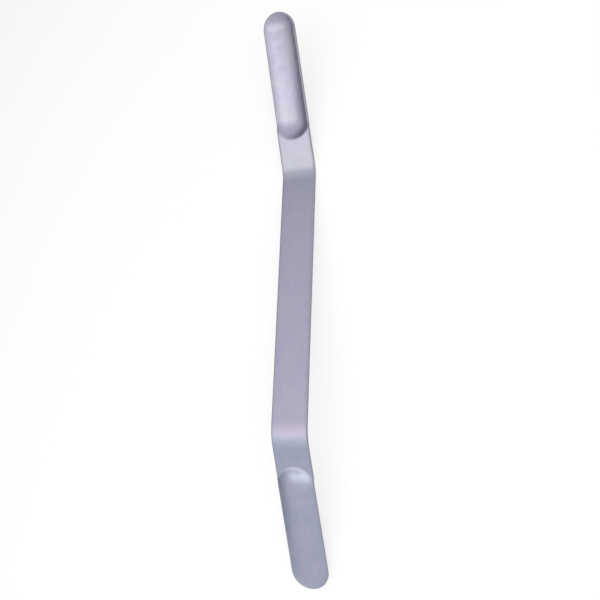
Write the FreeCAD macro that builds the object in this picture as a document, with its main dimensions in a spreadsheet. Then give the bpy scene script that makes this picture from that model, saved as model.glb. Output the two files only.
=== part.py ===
import FreeCAD, Part
import math
import os
import Sketcher
from FreeCAD import Placement, Rotation, Vector

# Surgical spatula: one flat stainless strip, set in a shallow Z and hollow forged at both ends.
# X runs across the strip, Y along it and Z up. The origin is on the table under the middle of
# the strip. Lengths are in millimetres and angles in degrees.

SIZES = {
    "strip_width": 12.2,
    "strip_thickness": 1.5,
    # how much narrower than the strip the raised tip is, and how much wider the lowered one
    "raised_narrowing": 0.75,
    "lowered_widening": 0.45,
    # from the corner of a bend to where the strip's sides start to close in or to spread
    "neck_length": 5.5,
    # from the corner of a bend to where an even strip would end, and from corner to corner,
    # at mid thickness
    "raised_limb_length": 55.4,
    "lowered_limb_length": 54.0,
    "grip_length": 93.2,
    "bend_angle": 30.0,
    # at mid thickness
    "raised_bend_radius": 10.5,
    "lowered_bend_radius": 14.5,
    # from where an even strip would end to the centre of the round inner end of its scoop
    "scoop_reach": 36.9,
    # how far the scoop's own outline would pass each side of a strip of even width
    "scoop_overlap": 0.4,
    "hollow_depth": 2.6,
    "dome_height": 2.0,
    "foot_radius": 1.8,
    "mouth_radius": 1.0,
    "edge_radius": 0.3,
    # spare metal round the blank, all of it trimmed away
    "blank_margin": 2.0,
}

# Distances that several sketches share, worked out from the driving dimensions. The strip is
# drawn with its middle at the origin and its limbs level, and is laid down to rest at the end.
LIMB_LENGTHS = "(sizes.raised_limb_length + sizes.lowered_limb_length)"
TIP_Y = f"({LIMB_LENGTHS} / 2 + sizes.grip_length / 2 * cos(sizes.bend_angle))"
LIMB_DROP = "(sizes.grip_length / 2 * sin(sizes.bend_angle))"
HALF_WIDTH = "(sizes.strip_width / 2)"
RAISED_HALF = f"({HALF_WIDTH} - sizes.raised_narrowing / 2)"
LOWERED_HALF = f"({HALF_WIDTH} + sizes.lowered_widening / 2)"
HALF_THICKNESS = "(sizes.strip_thickness / 2)"
SCOOP_HALF = f"({HALF_WIDTH} + sizes.scoop_overlap)"
OUTER_Y = f"({TIP_Y} - {HALF_WIDTH})"
INNER_Y = f"({TIP_Y} - sizes.scoop_reach)"

# How near an edge must be to the outline or level that it is looked for on
CLOSE = 0.001

# Least and greatest gap to close where a rounding leaves an edge loose on its face
LEAST_GAP = 0.000001
GREATEST_GAP = 0.001


def size_sheet(doc):
    """The spreadsheet of driving dimensions, one alias a row."""
    sheet = doc.addObject("Spreadsheet::Sheet", "sizes")
    for row, (name, number) in enumerate(SIZES.items(), start=1):
        sheet.set(f"A{row}", name)
        sheet.set(f"B{row}", str(number))
        sheet.setAlias(f"B{row}", name)
    doc.recompute()
    return sheet


def measure(item, expression):
    """What an expression comes to with the sheet's present numbers."""
    value = item.evalExpression(expression)
    return getattr(value, "Value", value)


def bend_reach(end):
    """How far along the strip from its middle the centre of one end's bend lies."""
    return f"({TIP_Y} - sizes.{end}_limb_length + sizes.{end}_bend_radius * tan(sizes.bend_angle / 2))"


def bend_centre(item, end):
    """Centre of one end's bend, with the strip turned so that this end is the raised one."""
    centre_y = measure(item, bend_reach(end))
    centre_z = measure(item, f"sizes.{end}_bend_radius - {LIMB_DROP}")
    return (centre_y, centre_z)


def turning_radius(depth):
    """Radius of a scoop's round form, which dips depth below the level of its outline."""
    return f"(({SCOOP_HALF} ^ 2 + {depth} ^ 2) / (2 * {depth}))"


def new_body(doc, label):
    body = doc.addObject("PartDesign::Body", label)
    body.Label = label
    return body


def plane_sketch(body, role, label):
    """An empty sketch on one of the body's own origin planes."""
    sketch = body.newObject("Sketcher::SketchObject", label)
    plane = next(item for item in body.Origin.OriginFeatures if item.Role == role)
    sketch.AttachmentSupport = [(plane, "")]
    sketch.MapMode = "FlatFace"
    return sketch


def bind(sketch, kind, elements, expression):
    """One dimension of a sketch, tied to the sheet."""
    start = measure(sketch, expression)
    if kind == "Angle":
        start = math.radians(start)
    index = sketch.addConstraint(Sketcher.Constraint(kind, *elements, start))
    sketch.setExpression(f"Constraints[{index}]", expression)


def relate(sketch, kind, groups):
    for elements in groups:
        sketch.addConstraint(Sketcher.Constraint(kind, *elements))


def segment(start, end):
    return Part.LineSegment(Vector(start[0], start[1], 0), Vector(end[0], end[1], 0))


def arc(centre, radius, first, last):
    """An arc in the sketch plane, its angles in degrees."""
    circle = Part.Circle(Vector(centre[0], centre[1], 0), Vector(0, 0, 1), radius)
    return Part.ArcOfCircle(circle, math.radians(first), math.radians(last))


def polar(centre, radius, angle):
    turn = math.radians(angle)
    return (centre[0] + radius * math.cos(turn), centre[1] + radius * math.sin(turn))


def bent_blank(doc):
    """The bent strip before its outline is cut: a side profile padded past the final width."""
    body = new_body(doc, "bent_blank")
    sketch = plane_sketch(body, "YZ_Plane", "side_profile")
    angle = measure(sketch, "sizes.bend_angle")
    half = measure(sketch, HALF_THICKNESS)
    tip_y = measure(sketch, TIP_Y)
    limb_z = -measure(sketch, LIMB_DROP)
    raised_radius = measure(sketch, "sizes.raised_bend_radius")
    lowered_radius = measure(sketch, "sizes.lowered_bend_radius")
    raised = bend_centre(sketch, "raised")
    turned = bend_centre(sketch, "lowered")
    lowered = (-turned[0], -turned[1])

    def side(thickness):
        """One long side of the profile, from the raised tip to the lowered one."""
        raised_side = raised_radius - thickness
        lowered_side = lowered_radius + thickness
        raised_arc = arc(raised, raised_side, -90 - angle, -90)
        lowered_arc = arc(lowered, lowered_side, 90 - angle, 90)
        return [
            segment((tip_y, limb_z + thickness), polar(raised, raised_side, -90)),
            raised_arc,
            segment(polar(raised, raised_side, -90 - angle), polar(lowered, lowered_side, 90 - angle)),
            lowered_arc,
            segment(polar(lowered, lowered_side, 90), (-tip_y, thickness - limb_z)),
        ]

    sketch.addGeometry(side(half))
    sketch.addGeometry(side(-half))
    sketch.addGeometry(segment((tip_y, limb_z - half), (tip_y, limb_z + half)))
    sketch.addGeometry(segment((-tip_y, -half - limb_z), (-tip_y, half - limb_z)))
    for first in (0, 5):
        limb, bend, grip, far_bend, far_limb = range(first, first + 5)
        relate(sketch, "Tangent", [(limb, 2, bend, 2), (bend, 1, grip, 1)])
        relate(sketch, "Tangent", [(grip, 2, far_bend, 1), (far_bend, 2, far_limb, 1)])
        relate(sketch, "Horizontal", [(limb,), (far_limb,)])
    relate(sketch, "Coincident", [(10, 1, 5, 1), (10, 2, 0, 1), (11, 1, 9, 2), (11, 2, 4, 2)])
    relate(sketch, "Coincident", [(1, 3, 6, 3), (3, 3, 8, 3)])
    relate(sketch, "Vertical", [(10,), (11,)])
    relate(sketch, "Symmetric", [(0, 1, 9, 2, -1, 1)])
    bind(sketch, "Radius", (1,), f"sizes.raised_bend_radius - {HALF_THICKNESS}")
    bind(sketch, "Radius", (8,), f"sizes.lowered_bend_radius - {HALF_THICKNESS}")
    bind(sketch, "DistanceY", (10, 1, 10, 2), "sizes.strip_thickness")
    bind(sketch, "DistanceY", (11, 1, 11, 2), "sizes.strip_thickness")
    bind(sketch, "DistanceX", (-1, 1, 1, 3), bend_reach("raised"))
    bind(sketch, "DistanceX", (-1, 1, 0, 1), TIP_Y)
    bind(sketch, "DistanceY", (0, 1, -1, 1), f"{LIMB_DROP} - {HALF_THICKNESS}")
    bind(sketch, "Angle", (2, 1, 0, 1), "sizes.bend_angle")

    pad = body.newObject("PartDesign::Pad", "strip_pad")
    pad.Profile = sketch
    pad.Midplane = True
    pad.setExpression("Length", f"2 * {LOWERED_HALF} + 2 * sizes.blank_margin")
    return body


def scoop_form(doc, label, depth, face_z):
    """A long form with round ends, turned about an axis along the raised limb.

    It dips depth below the level face_z, and cuts that level in the scoop's outline.
    """
    body = new_body(doc, label)
    sketch = plane_sketch(body, "YZ_Plane", label + "_profile")
    radius = measure(sketch, turning_radius(depth))
    axis_z = measure(sketch, f"{face_z} - {depth} + {turning_radius(depth)}")
    outer_y = measure(sketch, OUTER_Y)
    inner_y = measure(sketch, INNER_Y)
    outer = (outer_y, axis_z)
    inner = (inner_y, axis_z)

    sketch.addGeometry([
        segment(polar(inner, radius, 180), polar(outer, radius, 0)),
        arc(outer, radius, -90, 0),
        segment(polar(inner, radius, -90), polar(outer, radius, -90)),
        arc(inner, radius, 180, 270),
    ])
    sketch.addGeometry(segment(inner, outer), True)
    relate(sketch, "Tangent", [(1, 1, 2, 2), (2, 1, 3, 2)])
    relate(sketch, "Coincident", [(1, 2, 0, 2), (3, 1, 0, 1), (4, 1, 3, 3), (4, 2, 1, 3)])
    relate(sketch, "Horizontal", [(0,), (2,)])
    relate(sketch, "PointOnObject", [(1, 3, 0), (3, 3, 0)])
    bind(sketch, "Radius", (1,), turning_radius(depth))
    bind(sketch, "DistanceX", (-1, 1, 1, 3), OUTER_Y)
    bind(sketch, "DistanceX", (-1, 1, 3, 3), INNER_Y)
    bind(sketch, "DistanceY", (1, 3, -1, 1), f"{depth} - {turning_radius(depth)} - {face_z}")

    turning = body.newObject("PartDesign::Revolution", label + "_turning")
    turning.Profile = sketch
    turning.ReferenceAxis = (sketch, ["Axis0"])
    turning.Angle = 360
    return body


def backing(doc):
    """The room behind the raised limb's front face that its dome may fill."""
    block = doc.addObject("Part::Box", "backing")
    margin = "sizes.blank_margin"
    block.setExpression("Length", f"2 * {LOWERED_HALF} + 2 * {margin}")
    block.setExpression("Width", f"sizes.scoop_reach + {SCOOP_HALF} + 2 * {margin}")
    block.setExpression("Height", f"sizes.strip_thickness + sizes.dome_height + {margin}")
    block.setExpression("Placement.Base.x", f"-{LOWERED_HALF} - {margin}")
    block.setExpression("Placement.Base.y", f"{TIP_Y} - sizes.scoop_reach - {SCOOP_HALF} - {margin}")
    block.setExpression("Placement.Base.z",
                        f"-{LIMB_DROP} - {HALF_THICKNESS} - sizes.dome_height - {margin}")
    return block


def touch_angle(centre, radius, corner):
    """Angle round a tip at which a straight side from a corner runs into it."""
    across = corner[0] - centre[0]
    along = corner[1] - centre[1]
    spread = math.acos(radius / math.hypot(across, along))
    return math.degrees(math.atan2(along, across) - math.copysign(spread, along))


def plan_outline(doc):
    """The strip's outline seen square to its limbs, round at both tips, padded through it all.

    Its right half is drawn, with the raised tip at the top, and mirrored. Each tip is round
    about the centre of its scoop's outer end.
    """
    body = new_body(doc, "plan_outline")
    sketch = plane_sketch(body, "XY_Plane", "outline_profile")
    outer_y = measure(sketch, OUTER_Y)
    half_width = measure(sketch, HALF_WIDTH)
    raised_half = measure(sketch, RAISED_HALF)
    lowered_half = measure(sketch, LOWERED_HALF)
    raised_neck = f"{TIP_Y} - sizes.raised_limb_length + sizes.neck_length"
    lowered_neck = f"{TIP_Y} - sizes.lowered_limb_length + sizes.neck_length"
    grip_top = (half_width, measure(sketch, raised_neck))
    grip_foot = (half_width, -measure(sketch, lowered_neck))
    raised_centre = (0, outer_y)
    lowered_centre = (0, -outer_y)
    raised_touch = touch_angle(raised_centre, raised_half, grip_top)
    lowered_touch = touch_angle(lowered_centre, lowered_half, grip_foot)

    sketch.addGeometry([
        segment((0, -outer_y - lowered_half), (0, outer_y + raised_half)),
        arc(raised_centre, raised_half, raised_touch, 90),
        segment(polar(raised_centre, raised_half, raised_touch), grip_top),
        segment(grip_top, grip_foot),
        segment(grip_foot, polar(lowered_centre, lowered_half, lowered_touch)),
        arc(lowered_centre, lowered_half, -90, lowered_touch),
    ])
    relate(sketch, "Tangent", [(1, 1, 2, 1), (4, 2, 5, 2)])
    relate(sketch, "Coincident", [(1, 2, 0, 2), (2, 2, 3, 1), (3, 2, 4, 1), (5, 1, 0, 1)])
    relate(sketch, "PointOnObject", [(0, 1, -2), (0, 2, -2), (1, 3, -2), (5, 3, -2)])
    relate(sketch, "Vertical", [(3,)])
    bind(sketch, "Radius", (1,), RAISED_HALF)
    bind(sketch, "Radius", (5,), LOWERED_HALF)
    bind(sketch, "DistanceX", (-1, 1, 3, 1), HALF_WIDTH)
    bind(sketch, "DistanceY", (-1, 1, 3, 1), raised_neck)
    bind(sketch, "DistanceY", (3, 2, -1, 1), lowered_neck)
    bind(sketch, "DistanceY", (-1, 1, 1, 3), OUTER_Y)
    bind(sketch, "DistanceY", (5, 3, -1, 1), OUTER_Y)

    pad = body.newObject("PartDesign::Pad", "outline_pad")
    pad.Profile = sketch
    pad.Midplane = True
    pad.setExpression("Length", "sizes.grip_length")
    doc.recompute()
    other_half = body.newObject("PartDesign::Mirrored", "outline_mirrored")
    other_half.Originals = [pad]
    other_half.MirrorPlane = (sketch, ["V_Axis"])
    body.Tip = other_half
    return body


def turned_copy(doc, source, label):
    """The same form at the lowered end: turned half round about the strip's crosswise axis."""
    copy = doc.addObject("App::Link", label)
    copy.LinkedObject = source
    copy.Placement = Placement(Vector(0, 0, 0), Rotation(Vector(1, 0, 0), 180))
    return copy


def combined(doc, kind, label, first, second):
    result = doc.addObject(kind, label)
    result.Base = first
    result.Tool = second
    return result


def fused(doc, label, shapes):
    result = doc.addObject("Part::MultiFuse", label)
    result.Shapes = shapes
    result.Refine = True
    return result


def forged_strip(doc):
    """The bent blank, domed behind each end and hollowed in front, then cut to its outline."""
    front_z = f"({HALF_THICKNESS} - {LIMB_DROP})"
    back_z = f"(-{HALF_THICKNESS} - {LIMB_DROP})"
    dome_form = scoop_form(doc, "dome_form", "sizes.dome_height", back_z)
    hollow = scoop_form(doc, "raised_hollow", "sizes.hollow_depth", front_z)
    dome = combined(doc, "Part::Common", "raised_dome", dome_form, backing(doc))
    domed = fused(doc, "domed_blank", [bent_blank(doc), dome, turned_copy(doc, dome, "lowered_dome")])
    half_hollowed = combined(doc, "Part::Cut", "half_hollowed", domed, hollow)
    lowered_hollow = turned_copy(doc, hollow, "lowered_hollow")
    hollowed = combined(doc, "Part::Cut", "hollowed_blank", half_hollowed, lowered_hollow)
    return combined(doc, "Part::Common", "forged_strip", hollowed, plan_outline(doc))


def edges_over(shape, outline):
    """Names of the edges that lie over a flat outline, seen from above.

    The outline shows the right half of the strip. Upright seams aren't counted.
    """
    names = []
    for number, edge in enumerate(shape.Edges, start=1):
        plan = [Vector(abs(point.x), point.y, 0) for point in edge.discretize(5)]
        upright = plan[0].distanceToPoint(plan[-1]) < CLOSE
        gaps = [outline.distToShape(Part.Vertex(point))[0] for point in plan]
        if not upright and max(gaps) < CLOSE:
            names.append(f"Edge{number}")
    return names


def inner_ends(item):
    """The scoops' round inner ends, seen from above."""
    radius = measure(item, SCOOP_HALF)
    centre_y = measure(item, INNER_Y)
    circles = [Part.Circle(Vector(0, y, 0), Vector(0, 0, 1), radius) for y in (centre_y, -centre_y)]
    return Part.Compound([circle.toShape() for circle in circles])


def on_level(shape, names, level):
    """Those of the named edges that lie at one distance above or below the strip's middle."""
    chosen = []
    for name in names:
        heights = [abs(point.z) for point in shape.getElement(name).discretize(5)]
        if all(abs(height - level) < CLOSE for height in heights):
            chosen.append(name)
    return chosen


def rounding(body, label, names, radius):
    """Rounds some of the edges of the body as it stands."""
    base = body.Tip
    fillet = body.newObject("PartDesign::Fillet", label)
    fillet.Base = (base, names)
    fillet.Refine = False
    fillet.setExpression("Radius", radius)
    body.Document.recompute()


def rest_placement(item):
    """Lays the strip on the table: on the back of its raised end's bend and on its other tip.

    The lowered tip touches the table with the rounding of its lip, which lies between the tip's
    own upright side and the ball that is the outer end of the hollow's form.
    """
    edge_radius = measure(item, "sizes.edge_radius")
    bend = bend_centre(item, "raised")
    bend_radius = measure(item, f"sizes.raised_bend_radius + {HALF_THICKNESS}")
    ball_radius = measure(item, turning_radius("sizes.hollow_depth"))
    ball_z = measure(item, f"{LIMB_DROP} - {HALF_THICKNESS} + sizes.hollow_depth") - ball_radius
    lip_reach = measure(item, f"{LOWERED_HALF} - sizes.edge_radius")
    lip_y = -measure(item, OUTER_Y) - lip_reach
    lip_z = ball_z + math.sqrt((ball_radius + edge_radius) ** 2 - lip_reach ** 2)
    run = bend[0] - lip_y
    fall = lip_z - bend[1]
    tilt = math.asin((bend_radius - edge_radius) / math.hypot(run, fall)) + math.atan2(fall, run)
    lift = bend_radius - bend[0] * math.sin(tilt) - bend[1] * math.cos(tilt)
    return Placement(Vector(0, 0, lift), Rotation(Vector(1, 0, 0), math.degrees(tilt)))


def spatula(doc):
    """The finished strip: every sharp edge of the forging rounded, then laid down to rest."""
    forged = forged_strip(doc)
    doc.recompute()
    body = new_body(doc, "spatula")
    body.BaseFeature = forged
    doc.recompute()

    ends = inner_ends(body)
    back_level = measure(body, f"{LIMB_DROP} + {HALF_THICKNESS}")
    front_level = measure(body, f"{LIMB_DROP} - {HALF_THICKNESS}")
    feet = on_level(forged.Shape, edges_over(forged.Shape, ends), back_level)
    rounding(body, "dome_feet", feet, "sizes.foot_radius")
    shape = body.Tip.Shape
    mouths = on_level(shape, edges_over(shape, ends), front_level)
    rounding(body, "hollow_mouths", mouths, "sizes.mouth_radius")
    drawn = doc.getObject("outline_profile").Shape.Edges
    outline = Part.Compound([edge for edge in drawn if edge.BoundBox.XMax > CLOSE])
    rounding(body, "outer_edges", edges_over(body.Tip.Shape, outline), "sizes.edge_radius")
    body.Placement = rest_placement(body)
    return body


def sound(shape):
    """The shape, with its edges laid on their faces again where a rounding left them loose."""
    if shape.isNull() or shape.isValid():
        return shape
    mended = shape.copy()
    mended.fix(LEAST_GAP, LEAST_GAP, GREATEST_GAP)
    return mended


def failed_objects(doc):
    return [item.Name for item in doc.Objects if "Invalid" in item.State or "Error" in item.State]


def main():
    doc = FreeCAD.newDocument("surgical_spatula")
    size_sheet(doc)
    parts = [spatula(doc)]
    doc.recompute()
    failed = failed_objects(doc)
    if failed:
        raise RuntimeError(f"objects failed to build: {failed}")
    os.makedirs("parts", exist_ok=True)
    shapes = {part.Label: sound(part.Shape) for part in parts}
    for label, shape in shapes.items():
        if shape.isNull() or not shape.isValid():
            raise RuntimeError(f"{label} has no valid shape")
    for label, shape in shapes.items():
        shape.exportStep(f"parts/{label}.step")
        box = shape.BoundBox
        print(label, len(shape.Solids), "solid", round(shape.Volume, 1), "mm3")
        print("box", [round(size, 2) for size in (box.XLength, box.YLength, box.ZLength)])


main()
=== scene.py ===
import math

import bpy
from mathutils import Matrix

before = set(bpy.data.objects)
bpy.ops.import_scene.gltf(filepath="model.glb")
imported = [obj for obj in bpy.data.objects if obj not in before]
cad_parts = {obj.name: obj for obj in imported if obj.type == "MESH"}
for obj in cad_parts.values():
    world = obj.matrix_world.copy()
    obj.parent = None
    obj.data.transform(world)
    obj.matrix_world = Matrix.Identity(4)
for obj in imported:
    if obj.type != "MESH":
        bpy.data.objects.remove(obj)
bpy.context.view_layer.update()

# The spatula is one strip of stainless steel, forged into a long scoop at each end, bent once
# near each scoop, rounded along its edges, and blasted with glass beads to an even satin.
# It lies free, with nothing fixed to it.
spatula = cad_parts["spatula"]

grip_half_width = 0.0061
raised_tip_narrowing = 0.000375
lowered_tip_widening = 0.000225
tip_centre = 0.0917
neck_middle = 0.049
bend_middle = -0.044
# Middle of the band of painted shade beside the lower bend.
bend_painted_shade_middle = -0.050
# Width of the band of painted shade along the edges.
edge_shade_band = 0.0012
corner_softness = 0.0005

# The blue is also laid on as painted shade, the violet as painted light.
satin_blue = (0.326, 0.350, 0.460, 1.0)
satin_violet = (0.410, 0.381, 0.498, 1.0)
satin_grey = (0.384, 0.386, 0.440, 1.0)
# Painted shade for the edges and the raised tip.
edge_shade_colour = (0.240, 0.236, 0.290, 1.0)
# Painted shade for the upright sides.
side_painted_shade = (0.260, 0.258, 0.310, 1.0)


class Shade:
    """A value that changes over a surface. Arithmetic on it adds the Math nodes."""

    def __init__(self, tree, socket=None):
        self.tree = tree
        self.socket = socket

    def node(self, kind, settings, sockets, outlet=0):
        made = self.tree.nodes.new(kind)
        for name, value in settings.items():
            setattr(made, name, value)
        for name, value in sockets.items():
            if isinstance(value, Shade):
                self.tree.links.new(value.socket, made.inputs[name])
            else:
                made.inputs[name].default_value = value
        return Shade(self.tree, made.outputs[outlet] if made.outputs else None)

    def maths(self, operation, left, right):
        return self.node("ShaderNodeMath", {"operation": operation}, {0: left, 1: right})

    def __add__(self, other):
        return self.maths("ADD", self, other)

    def __radd__(self, other):
        return self.maths("ADD", other, self)

    def __sub__(self, other):
        return self.maths("SUBTRACT", self, other)

    def __rsub__(self, other):
        return self.maths("SUBTRACT", other, self)

    def __mul__(self, other):
        return self.maths("MULTIPLY", self, other)

    def __rmul__(self, other):
        return self.maths("MULTIPLY", other, self)

    def __pow__(self, other):
        return self.maths("POWER", self, other)

    def __abs__(self):
        return self.maths("ABSOLUTE", self, 0.0)


def fade(value, start, end):
    """0 where the value is start, 1 where it is end, and a soft step between them."""
    return value.node(
        "ShaderNodeMapRange",
        {"interpolation_type": "SMOOTHSTEP"},
        {"Value": value, "From Min": start, "From Max": end},
    )


def slope(value, start, end, low, high):
    """Low where the value is start, high where it is end, and an even slope between them."""
    return value.node(
        "ShaderNodeMapRange",
        {},
        {"Value": value, "From Min": start, "From Max": end, "To Min": low, "To Max": high},
    )


def grain(spot, scale, detail, coarseness):
    """Marks without a pattern, as many to the metre as the scale."""
    return spot.node(
        "ShaderNodeTexNoise",
        {},
        {"Vector": spot, "Scale": scale, "Detail": detail, "Roughness": coarseness},
        "Fac",
    )


def tinted(share, plain, tint):
    """The plain colour where the share is 0, and the tint where it is 1."""
    return share.node(
        "ShaderNodeMix",
        {"data_type": "RGBA", "clamp_factor": True},
        {0: share, 6: plain, 7: tint},
        2,
    )


satin_steel = bpy.data.materials.new("satin_steel")
satin_steel.use_nodes = True
satin_steel.node_tree.nodes.clear()
steel = Shade(satin_steel.node_tree)

place = steel.node("ShaderNodeTexCoord", {}, {}, "Object")
normal = steel.node("ShaderNodeTexCoord", {}, {}, "Normal")
across = steel.node("ShaderNodeSeparateXYZ", {}, {"Vector": place}, "X")
along = steel.node("ShaderNodeSeparateXYZ", {}, {"Vector": place}, "Y")
facing_up = steel.node("ShaderNodeSeparateXYZ", {}, {"Vector": normal}, "Z")

# The narrow sides stand upright, or nearly so; their colour is darkened as painted shade.
side = fade(abs(facing_up), start=0.45, end=0.20)

# How far a point is inside the outline, which narrows toward the raised tip, spreads toward
# the lowered one and is round past the centre of each tip. The outermost band gets painted
# shade.
narrowing = slope(along, start=0.042, end=0.086, low=0.0, high=raised_tip_narrowing)
widening = slope(along, start=-0.047, end=-0.086, low=0.0, high=lowered_tip_widening)
past_tip_centre = steel.node(
    "ShaderNodeMath", {"operation": "MAXIMUM"}, {0: abs(along) - tip_centre, 1: 0.0}
)
reach = (across * across + past_tip_centre * past_tip_centre) ** 0.5
inside = grip_half_width - narrowing + widening - reach
painted_edge_shade = fade(inside, start=edge_shade_band, end=0.0)

# Clouds a few millimetres across, left by the blasting, over broad and fine lines of the
# polishing before it, which run along the strip. The forging left long low waves.
lengthwise = steel.node(
    "ShaderNodeMapping", {}, {"Vector": place, "Scale": (1.0, 0.035, 1.0)}, "Vector"
)
noise_middle = 0.5
clouds = grain(place, scale=170.0, detail=3.0, coarseness=0.55) - noise_middle
streaks = grain(lengthwise, scale=850.0, detail=2.0, coarseness=0.5) - noise_middle
polishing = grain(lengthwise, scale=2200.0, detail=2.0, coarseness=0.6) - noise_middle
bead_marks = grain(place, scale=7000.0, detail=1.0, coarseness=0.5) - noise_middle
forging_waves = grain(place, scale=230.0, detail=1.0, coarseness=0.4) - noise_middle
grey_patches = fade(
    grain(place, scale=150.0, detail=2.0, coarseness=0.5), start=0.47, end=0.62
)

# The steel is faintly violet, most along the grip where fingers polish it. Painted shade
# makes it bluer and darker from the lower bend on, most right beside it, and painted light
# makes the raised limb more violet.
middle_of_grip = slope(abs(across), start=0.006, end=0.0, low=0.6, high=1.0)
fingered = fade(along, start=0.048, end=0.020) * middle_of_grip
raised_limb = fade(along, start=0.042, end=0.058)
lowered_limb = fade(along, start=-0.0445, end=-0.0505)
bend_painted_shade = fade(abs(along - bend_painted_shade_middle), start=0.005, end=0.0)

plain_violet = 0.40
fingered_violet = 0.60
# Painted light on the raised limb; painted shade on the lowered limb and beside the lower
# bend.
raised_limb_painted_light = 0.30
lowered_limb_painted_shade = 0.70
bend_painted_shade_strength = 0.45
cloud_contrast = 1.3
streak_contrast = 1.1
tint_and_painted_light_share = (
    plain_violet
    + fingered * fingered_violet
    + raised_limb * raised_limb_painted_light
    - lowered_limb * lowered_limb_painted_shade
    - bend_painted_shade * bend_painted_shade_strength
    + clouds * cloud_contrast
    + streaks * streak_contrast
)

# It is greyer in patches, mostly on the raised limb. The neck of that limb is greyed as a
# painted highlight.
neck_highlight = fade(abs(along - neck_middle), start=0.008, end=0.002)

plain_grey = 0.15
raised_limb_grey = 0.35
# Painted highlight tint on the neck of the raised limb.
neck_painted_highlight = 0.55
grey_and_highlight_share = grey_patches * (plain_grey + raised_limb * raised_limb_grey) + neck_highlight * neck_painted_highlight

# Painted shade darkens the edges, most on the raised limb, and the raised tip a little.
raised_tip = fade(along, start=0.0895, end=0.0920)

plain_edge_shade = 0.35
raised_limb_edge_shade = 0.40
lowered_limb_less_edge_shade = 0.20
raised_tip_shade = 0.13
edge_shade_strength = plain_edge_shade + raised_limb * raised_limb_edge_shade - lowered_limb * lowered_limb_less_edge_shade
edge_shade_share = painted_edge_shade * edge_shade_strength + raised_tip * raised_tip_shade

tint_and_painted_light = tinted(tint_and_painted_light_share, satin_blue, satin_violet)
greyed_and_highlit = tinted(grey_and_highlight_share, tint_and_painted_light, satin_grey)
edge_shaded = tinted(edge_shade_share, greyed_and_highlit, edge_shade_colour)
colour = tinted(side, edge_shaded, side_painted_shade)

# The lower bend, stretched at the press, is a little rougher than the rest.
lower_bend = fade(abs(along - bend_middle), start=0.006, end=0.001)

satin_roughness = 0.40
cloud_roughness = 0.08
polishing_roughness = 0.06
streak_roughness = 0.06
bend_roughness = 0.06
roughness = (
    satin_roughness
    + clouds * cloud_roughness
    + polishing * polishing_roughness
    + streaks * streak_roughness
    + lower_bend * bend_roughness
)

# Heights are in hundredths of a millimetre. Only the scoops keep the forging's waves.
height_unit = 0.00001
bead_height = 0.6
polishing_height = 0.4
streak_height = 2.0
cloud_height = 1.5
forging_height = 50.0
relief = (
    bead_height * bead_marks
    + polishing_height * polishing
    + streak_height * streaks
    + cloud_height * clouds
    + forging_height * forging_waves * (raised_limb + lowered_limb)
)
worn_corners = steel.node(
    "ShaderNodeBevel", {"samples": 8}, {"Radius": corner_softness}, "Normal"
)
surface = steel.node(
    "ShaderNodeBump",
    {},
    {"Strength": 0.35, "Distance": height_unit, "Height": relief, "Normal": worn_corners},
    "Normal",
)
metal = steel.node(
    "ShaderNodeBsdfPrincipled",
    {},
    {"Base Color": colour, "Metallic": 1.0, "Roughness": roughness, "Normal": surface},
)
steel.node("ShaderNodeOutputMaterial", {}, {"Surface": metal})

spatula.data.materials.clear()
spatula.data.materials.append(satin_steel)

# The table is a wide sheet of matt white card, flat under the spatula. The camera and the
# steel see it as plain white paper, with the spatula's shadow on it.
table_half = 3.0
table_mesh = bpy.data.meshes.new("white_card")
table_mesh.from_pydata(
    [
        (-table_half, -table_half, 0.0),
        (table_half, -table_half, 0.0),
        (table_half, table_half, 0.0),
        (-table_half, table_half, 0.0),
    ],
    [],
    [(0, 1, 2, 3)],
)
table = bpy.data.objects.new("white_card", table_mesh)
bpy.context.scene.collection.objects.link(table)

card_white = bpy.data.materials.new("card_white")
card_white.use_nodes = True
card_white.node_tree.nodes.clear()
card = Shade(card_white.node_tree)
matt_card = card.node(
    "ShaderNodeBsdfPrincipled",
    {},
    {"Base Color": (0.92, 0.92, 0.92, 1.0), "Roughness": 0.9},
)
paper_white = card.node(
    "ShaderNodeEmission", {}, {"Color": (1.0, 1.0, 1.0, 1.0), "Strength": 1.0}
)
paper_share = 0.7
seen = (
    card.node("ShaderNodeLightPath", {}, {}, "Is Camera Ray")
    + card.node("ShaderNodeLightPath", {}, {}, "Is Glossy Ray")
    + card.node("ShaderNodeLightPath", {}, {}, "Is Transmission Ray")
)
sheet = card.node(
    "ShaderNodeMixShader", {}, {0: seen * paper_share, 1: matt_card, 2: paper_white}
)
card.node("ShaderNodeOutputMaterial", {}, {"Surface": sheet})
table_mesh.materials.append(card_white)

# The room is an even white light tent, with a long soft lamp above the strip and a short one
# beside it, over the strip's right side.
room = bpy.data.worlds.new("light_tent")
bpy.context.scene.world = room
room.use_nodes = True
tent = room.node_tree.nodes["Background"]
tent.inputs["Color"].default_value = (1.0, 1.0, 1.0, 1.0)
tent.inputs["Strength"].default_value = 1.0

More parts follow.
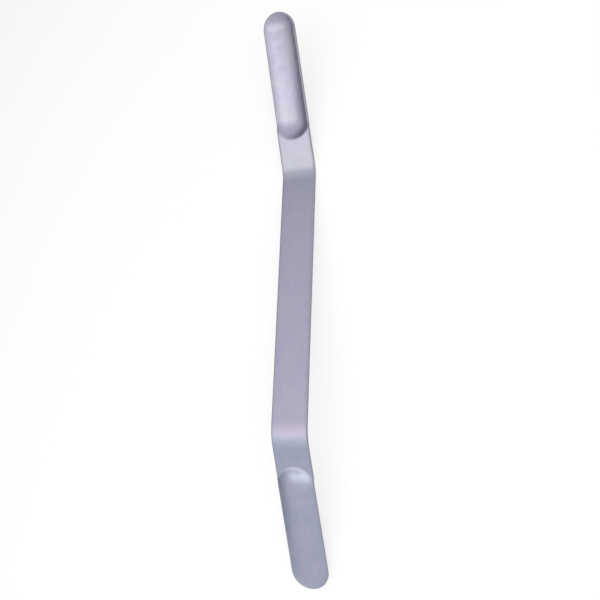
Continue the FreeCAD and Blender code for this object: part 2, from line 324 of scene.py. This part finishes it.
lamp_width = 0.21
lamp_tilt = math.radians(-12.0)
lamp_colour = (1.0, 0.97, 0.86)
lamps = (
    ("long_soft_lamp", 0.94, (0.02, -0.125, 0.57), 1.55),
    ("short_soft_lamp", 0.22, (0.23, -0.125, 0.57), 2.20),
)
for name, length, place_above, brightness in lamps:
    lamp_data = bpy.data.lights.new(name, "AREA")
    lamp_data.shape = "RECTANGLE"
    lamp_data.size = length
    lamp_data.size_y = lamp_width
    lamp_data.energy = brightness * math.pi * length * lamp_width
    lamp_data.color = lamp_colour
    lamp = bpy.data.objects.new(name, lamp_data)
    bpy.context.scene.collection.objects.link(lamp)
    lamp.location = place_above
    lamp.rotation_euler = (lamp_tilt, 0.0, 0.0)

# Three upright cards stand on the table just out of the picture, and darken the parts of the
# steel that face them: a black one beside the raised end, a black one past it, on the slant,
# and a grey one beside the lowered end.
black = (0.05, 0.05, 0.06, 1.0)
grey = (0.24, 0.24, 0.26, 1.0)
card_stands = (
    ("black_card", (-0.22, -0.02), (-0.22, 0.16), 0.11, black),
    ("slanting_black_card", (-0.22, 0.15), (0.00, 0.31), 0.156, black),
    ("grey_card", (-0.22, -0.23), (-0.22, -0.02), 0.11, grey),
)
for name, near, far, height, shade in card_stands:
    stand_mesh = bpy.data.meshes.new(name)
    stand_mesh.from_pydata(
        [(*near, 0.0), (*far, 0.0), (*far, height), (*near, height)],
        [],
        [(0, 1, 2, 3)],
    )
    stand = bpy.data.objects.new(name, stand_mesh)
    bpy.context.scene.collection.objects.link(stand)
    stand_paint = bpy.data.materials.new(name)
    stand_paint.use_nodes = True
    stand_paint.node_tree.nodes["Principled BSDF"].inputs["Base Color"].default_value = shade
    stand_mesh.materials.append(stand_paint)
    stand.visible_camera = False

# The camera hangs close above the strip, a little to its right.
camera_data = bpy.data.cameras.new("camera")
camera_data.sensor_width = 36.0
camera_data.lens = 40.817
camera_data.clip_start = 0.01
camera = bpy.data.objects.new("camera", camera_data)
bpy.context.scene.collection.objects.link(camera)
camera.location = (0.08253, -0.02968, 0.22253)
camera.rotation_euler = (math.radians(6.256), math.radians(20.902), math.radians(-1.929))
bpy.context.scene.camera = camera

bpy.context.scene.view_settings.view_transform = "Standard"
